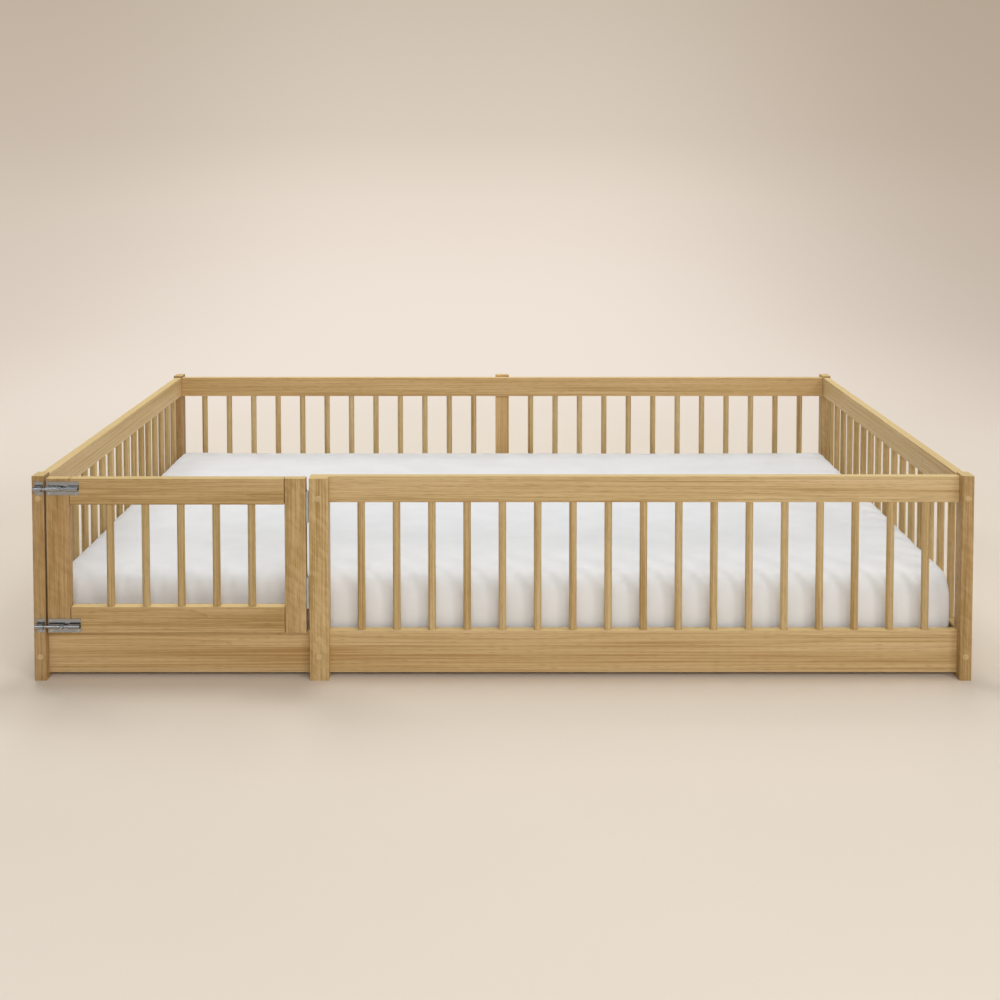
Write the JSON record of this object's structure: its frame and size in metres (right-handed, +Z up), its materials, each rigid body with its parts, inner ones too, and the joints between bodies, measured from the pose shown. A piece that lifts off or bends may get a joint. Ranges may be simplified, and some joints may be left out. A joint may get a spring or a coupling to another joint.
{
  "type": "toddler floor bed",
  "caption": "Low wooden toddler bed with a spindle rail all round, a hinged spindle gate with two barrel bolts, slats and a mattress in a fitted sheet.",
  "frame": {"origin": "on the floor, at the centre of the bed's outer box, knobs included", "axes": "+X along the length of the bed, with the gate at the -X end of the -Y front; +Y to the back; +Z up"},
  "size_m": [1.961, 1.312, 0.433],
  "materials": {
    "post_wood": "satin",
    "rail_wood": "satin",
    "gate_wood": "satin",
    "spindle_wood": "satin",
    "plug_wood": "satin",
    "slat_wood": "satin",
    "mattress_ticking": "matte",
    "sheet_cotton": "matte",
    "hinge_steel": "satin",
    "bolt_steel": "polished",
    "screw_steel": "satin"
  },
  "bodies": {
    "frame": {"back_bottom_rail": "rail_wood", "back_center_post": "post_wood", "back_ledger": "slat_wood", "back_left_post": "post_wood", "back_right_post": "post_wood", "back_spindles_left": "spindle_wood", "back_spindles_right": "spindle_wood", "back_top_rail": "rail_wood", "beam_feet": "slat_wood", "bolt_screws_post": "screw_steel", "center_beam": "slat_wood", "fitted_sheet": "sheet_cotton", "front_bottom_rail": "rail_wood", "front_ledger": "slat_wood", "front_left_post": "post_wood", "front_right_post": "post_wood", "front_spindles": "spindle_wood", "front_top_rail": "rail_wood", "gate_post": "post_wood", "hinge_screws_post": "screw_steel", "left_bottom_rail": "rail_wood", "left_spindles": "spindle_wood", "left_top_rail": "rail_wood", "long_frame_screws": "screw_steel", "lower_bolt_keeper": "bolt_steel", "lower_hinge_pin": "hinge_steel", "lower_hinge_post_leaf": "hinge_steel", "mattress": "mattress_ticking", "right_bottom_rail": "rail_wood", "right_spindles": "spindle_wood", "right_top_rail": "rail_wood", "screw_plugs": "plug_wood", "short_frame_screws": "screw_steel", "slats": "slat_wood", "upper_bolt_keeper": "bolt_steel", "upper_hinge_pin": "hinge_steel", "upper_hinge_post_leaf": "hinge_steel"},
    "gate": {"gate_latch_stile": "gate_wood", "gate_hinge_stile": "gate_wood", "gate_top_rail": "gate_wood", "gate_bottom_rail": "gate_wood", "gate_dowels": "plug_wood", "upper_hinge_gate_leaf": "hinge_steel", "lower_hinge_gate_leaf": "hinge_steel", "hinge_screws_gate": "screw_steel", "bolt_screws_gate": "screw_steel", "upper_bolt_plate": "bolt_steel", "upper_bolt_barrel": "bolt_steel", "lower_bolt_plate": "bolt_steel", "lower_bolt_barrel": "bolt_steel", "gate_spindle_1": "spindle_wood", "gate_spindle_2": "spindle_wood", "gate_spindle_3": "spindle_wood", "gate_spindle_4": "spindle_wood", "gate_spindle_5": "spindle_wood"},
    "upper_bolt": {"upper_bolt_rod": "bolt_steel"},
    "upper_knob": {"upper_bolt_knob": "bolt_steel"},
    "lower_bolt": {"lower_bolt_rod": "bolt_steel"},
    "lower_knob": {"lower_bolt_knob": "bolt_steel"}
  },
  "joints": [
    {"name": "gate_swing", "type": "hinge", "parent": "frame", "child": "gate", "pos_m": [-0.40775, -0.638, 0.2645], "axis": [0, 0, 1], "range_deg": [0, 170]},
    {"name": "upper_bolt_slide", "type": "slide", "parent": "gate", "child": "upper_bolt", "axis": [1, 0, 0], "range_m": [0, 0.01]},
    {"name": "upper_knob_turn", "type": "hinge", "parent": "upper_bolt", "child": "upper_knob", "pos_m": [-0.9194, -0.6453, 0.4073], "axis": [-1, 0, 0], "range_deg": [0, 75]},
    {"name": "lower_bolt_slide", "type": "slide", "parent": "gate", "child": "lower_bolt", "axis": [1, 0, 0], "range_m": [0, 0.01]},
    {"name": "lower_knob_turn", "type": "hinge", "parent": "lower_bolt", "child": "lower_knob", "pos_m": [-0.9194, -0.6453, 0.1176], "axis": [-1, 0, 0], "range_deg": [0, 75]}
  ]
}
